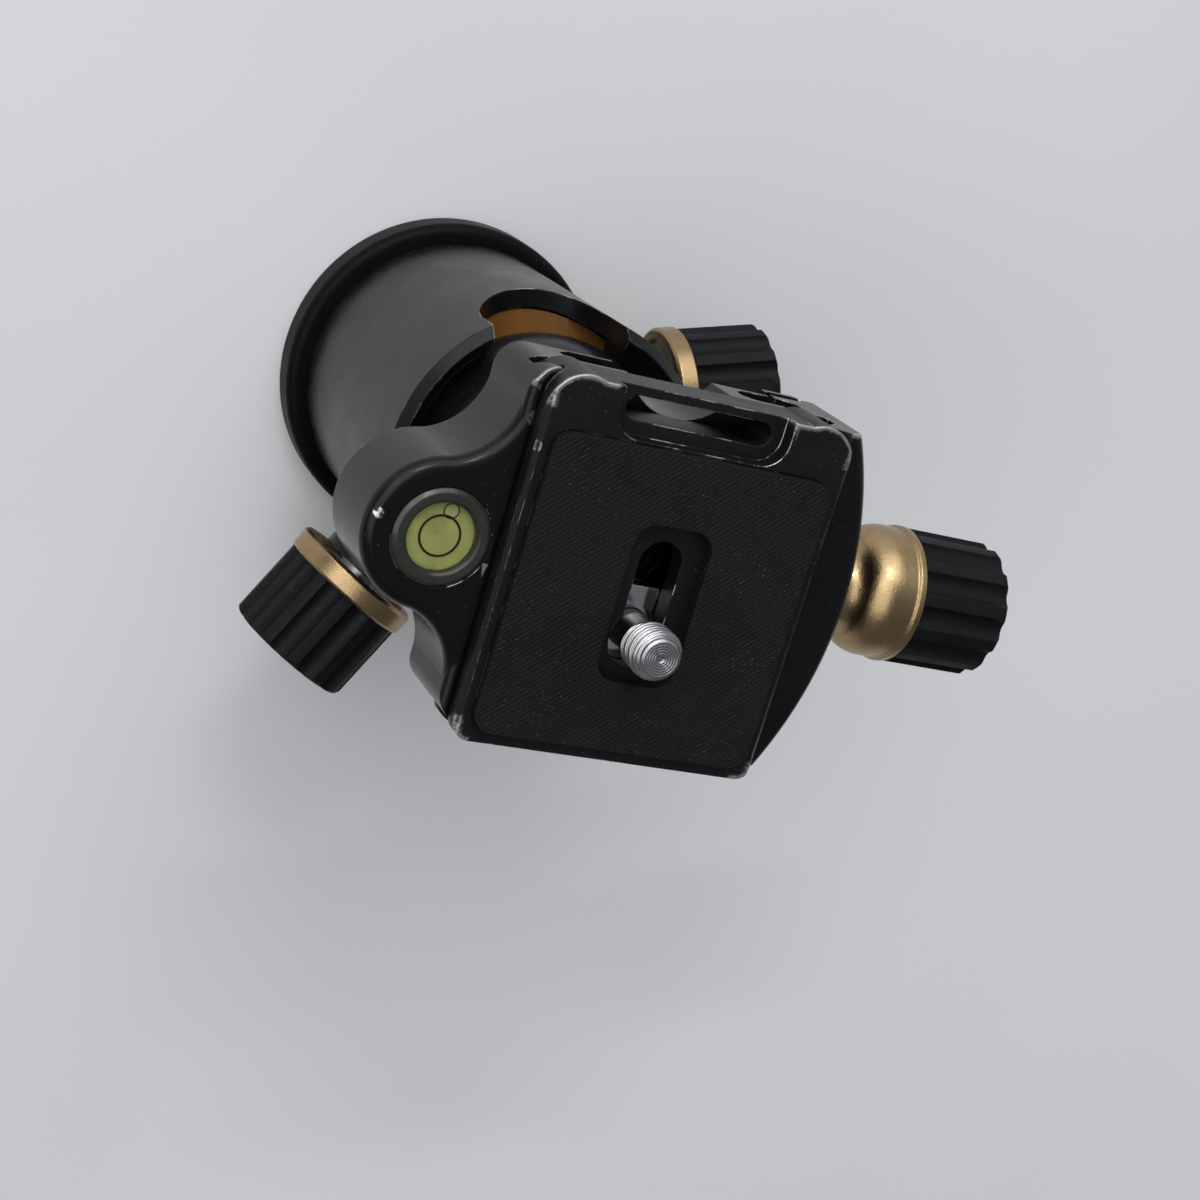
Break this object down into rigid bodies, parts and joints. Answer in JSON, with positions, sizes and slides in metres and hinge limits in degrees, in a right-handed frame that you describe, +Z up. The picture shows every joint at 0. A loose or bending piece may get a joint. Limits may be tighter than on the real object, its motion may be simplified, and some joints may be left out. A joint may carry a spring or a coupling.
{
  "type": "tripod ball head",
  "caption": "Compact tripod ball head with a pan base, two lock knobs, a side drop notch, a screw clamp with a bubble level and a sliding dovetail plate.",
  "frame": {"origin": "centre of the base's mounting face", "axes": "+Z up the panning axis, +X towards the clamp knob, +Y towards the strap-slot end of the plate"},
  "size_m": [0.0855, 0.0633, 0.0966],
  "materials": {
    "black_aluminium": "satin",
    "gold_aluminium": "satin",
    "orange_acetal": "satin",
    "steel": "satin",
    "bright_steel": "polished",
    "black_rubber": "matte",
    "dark_acetal": "satin",
    "black_plastic": "matte",
    "white_nylon": "matte",
    "smoked_plastic": "gloss",
    "clear_plastic": "gloss",
    "level_liquid": "gloss",
    "level_bubble": "gloss",
    "brass": "satin"
  },
  "bodies": {
    "base": {"base_flange": "black_aluminium", "base_thread_bush": "steel", "pan_slip_ring": "white_nylon", "pan_retaining_washer": "steel", "pan_retaining_screw": "steel"},
    "housing": {"ball_housing": "black_aluminium", "lower_ball_cup": "orange_acetal", "cup_spring_washer": "steel", "upper_ball_seat": "dark_acetal"},
    "main_plunger": {"main_lock_plunger": "brass"},
    "main_knob": {"main_lock_stud": "steel", "main_knob_ring": "gold_aluminium", "main_knob_grip": "black_rubber"},
    "pan_plunger": {"pan_lock_plunger": "brass"},
    "pan_knob": {"pan_lock_stud": "steel", "pan_knob_ring": "gold_aluminium", "pan_knob_grip": "black_rubber"},
    "ball": {"ball": "black_aluminium"},
    "clamp": {"stem": "black_aluminium", "clamp_body": "black_aluminium", "stem_screw": "steel", "guide_pins": "steel", "level_cup": "smoked_plastic", "level_liquid": "level_liquid", "level_bubble": "level_bubble", "level_target": "black_plastic", "level_window": "clear_plastic"},
    "jaw": {"moving_jaw": "black_aluminium"},
    "clamp_knob": {"clamp_lead_screw": "steel", "clamp_knob_hub": "gold_aluminium", "clamp_knob_grip": "black_rubber"},
    "plate": {"release_plate": "black_aluminium", "rubber_pad": "black_rubber", "stop_screws": "steel"},
    "retainer": {"screw_retainer": "bright_steel"},
    "camera_screw": {"camera_screw": "bright_steel"}
  },
  "joints": [
    {"name": "pan", "type": "hinge", "parent": "base", "child": "housing", "pos_m": [0, 0, 0.006], "axis": [0, 0, 1], "continuous": true},
    {"name": "main_knob_turn", "type": "hinge", "parent": "housing", "child": "main_knob", "pos_m": [-0.01436, -0.02634, 0.027], "axis": [-0.4787, -0.878, 0], "range_deg": [0, 270]},
    {"name": "main_plunger_push", "type": "slide", "parent": "housing", "child": "main_plunger", "axis": [-0.4787, -0.878, 0], "range_m": [0, 0.00075]},
    {"name": "pan_knob_turn", "type": "hinge", "parent": "housing", "child": "pan_knob", "pos_m": [0.02891, 0.00802, 0.0174], "axis": [0.9636, 0.2672, 0], "range_deg": [0, 270]},
    {"name": "pan_plunger_push", "type": "slide", "parent": "housing", "child": "pan_plunger", "axis": [0.9636, 0.2672, 0], "range_m": [0, 0.0006]},
    {"name": "ball_tilt", "type": "hinge", "parent": "housing", "child": "ball", "pos_m": [0, 0, 0.0448], "axis": [-0.9816, -0.1908, 0], "range_deg": [-45, 90]},
    {"name": "stem_spin", "type": "hinge", "parent": "ball", "child": "clamp", "pos_m": [0, 0, 0.0448], "axis": [0, 0, 1], "continuous": true},
    {"name": "clamp_knob_turn", "type": "hinge", "parent": "jaw", "child": "clamp_knob", "pos_m": [0.03, 0, 0.0759], "axis": [1, 0, 0], "range_deg": [0, 1800]},
    {"name": "jaw_slide", "type": "slide", "parent": "clamp", "child": "jaw", "axis": [1, 0, 0], "range_m": [0, 0.004]},
    {"name": "plate_slide", "type": "slide", "parent": "clamp", "child": "plate", "axis": [0, 1, 0], "range_m": [-0.004, 0.004]},
    {"name": "screw_slide", "type": "slide", "parent": "plate", "child": "retainer", "axis": [0, 1, 0], "range_m": [-0.0004, 0.0087]},
    {"name": "screw_turn", "type": "hinge", "parent": "retainer", "child": "camera_screw", "pos_m": [-0.0014, -0.0069, 0.0915], "axis": [0, 0, 1], "continuous": true}
  ],
  "couplings": [
    {"joint": "main_knob_turn", "follows": "main_plunger_push", "rad_per_m": 6283.2},
    {"joint": "pan_knob_turn", "follows": "pan_plunger_push", "rad_per_m": 7854},
    {"joint": "clamp_knob_turn", "follows": "jaw_slide", "rad_per_m": 7854}
  ]
}
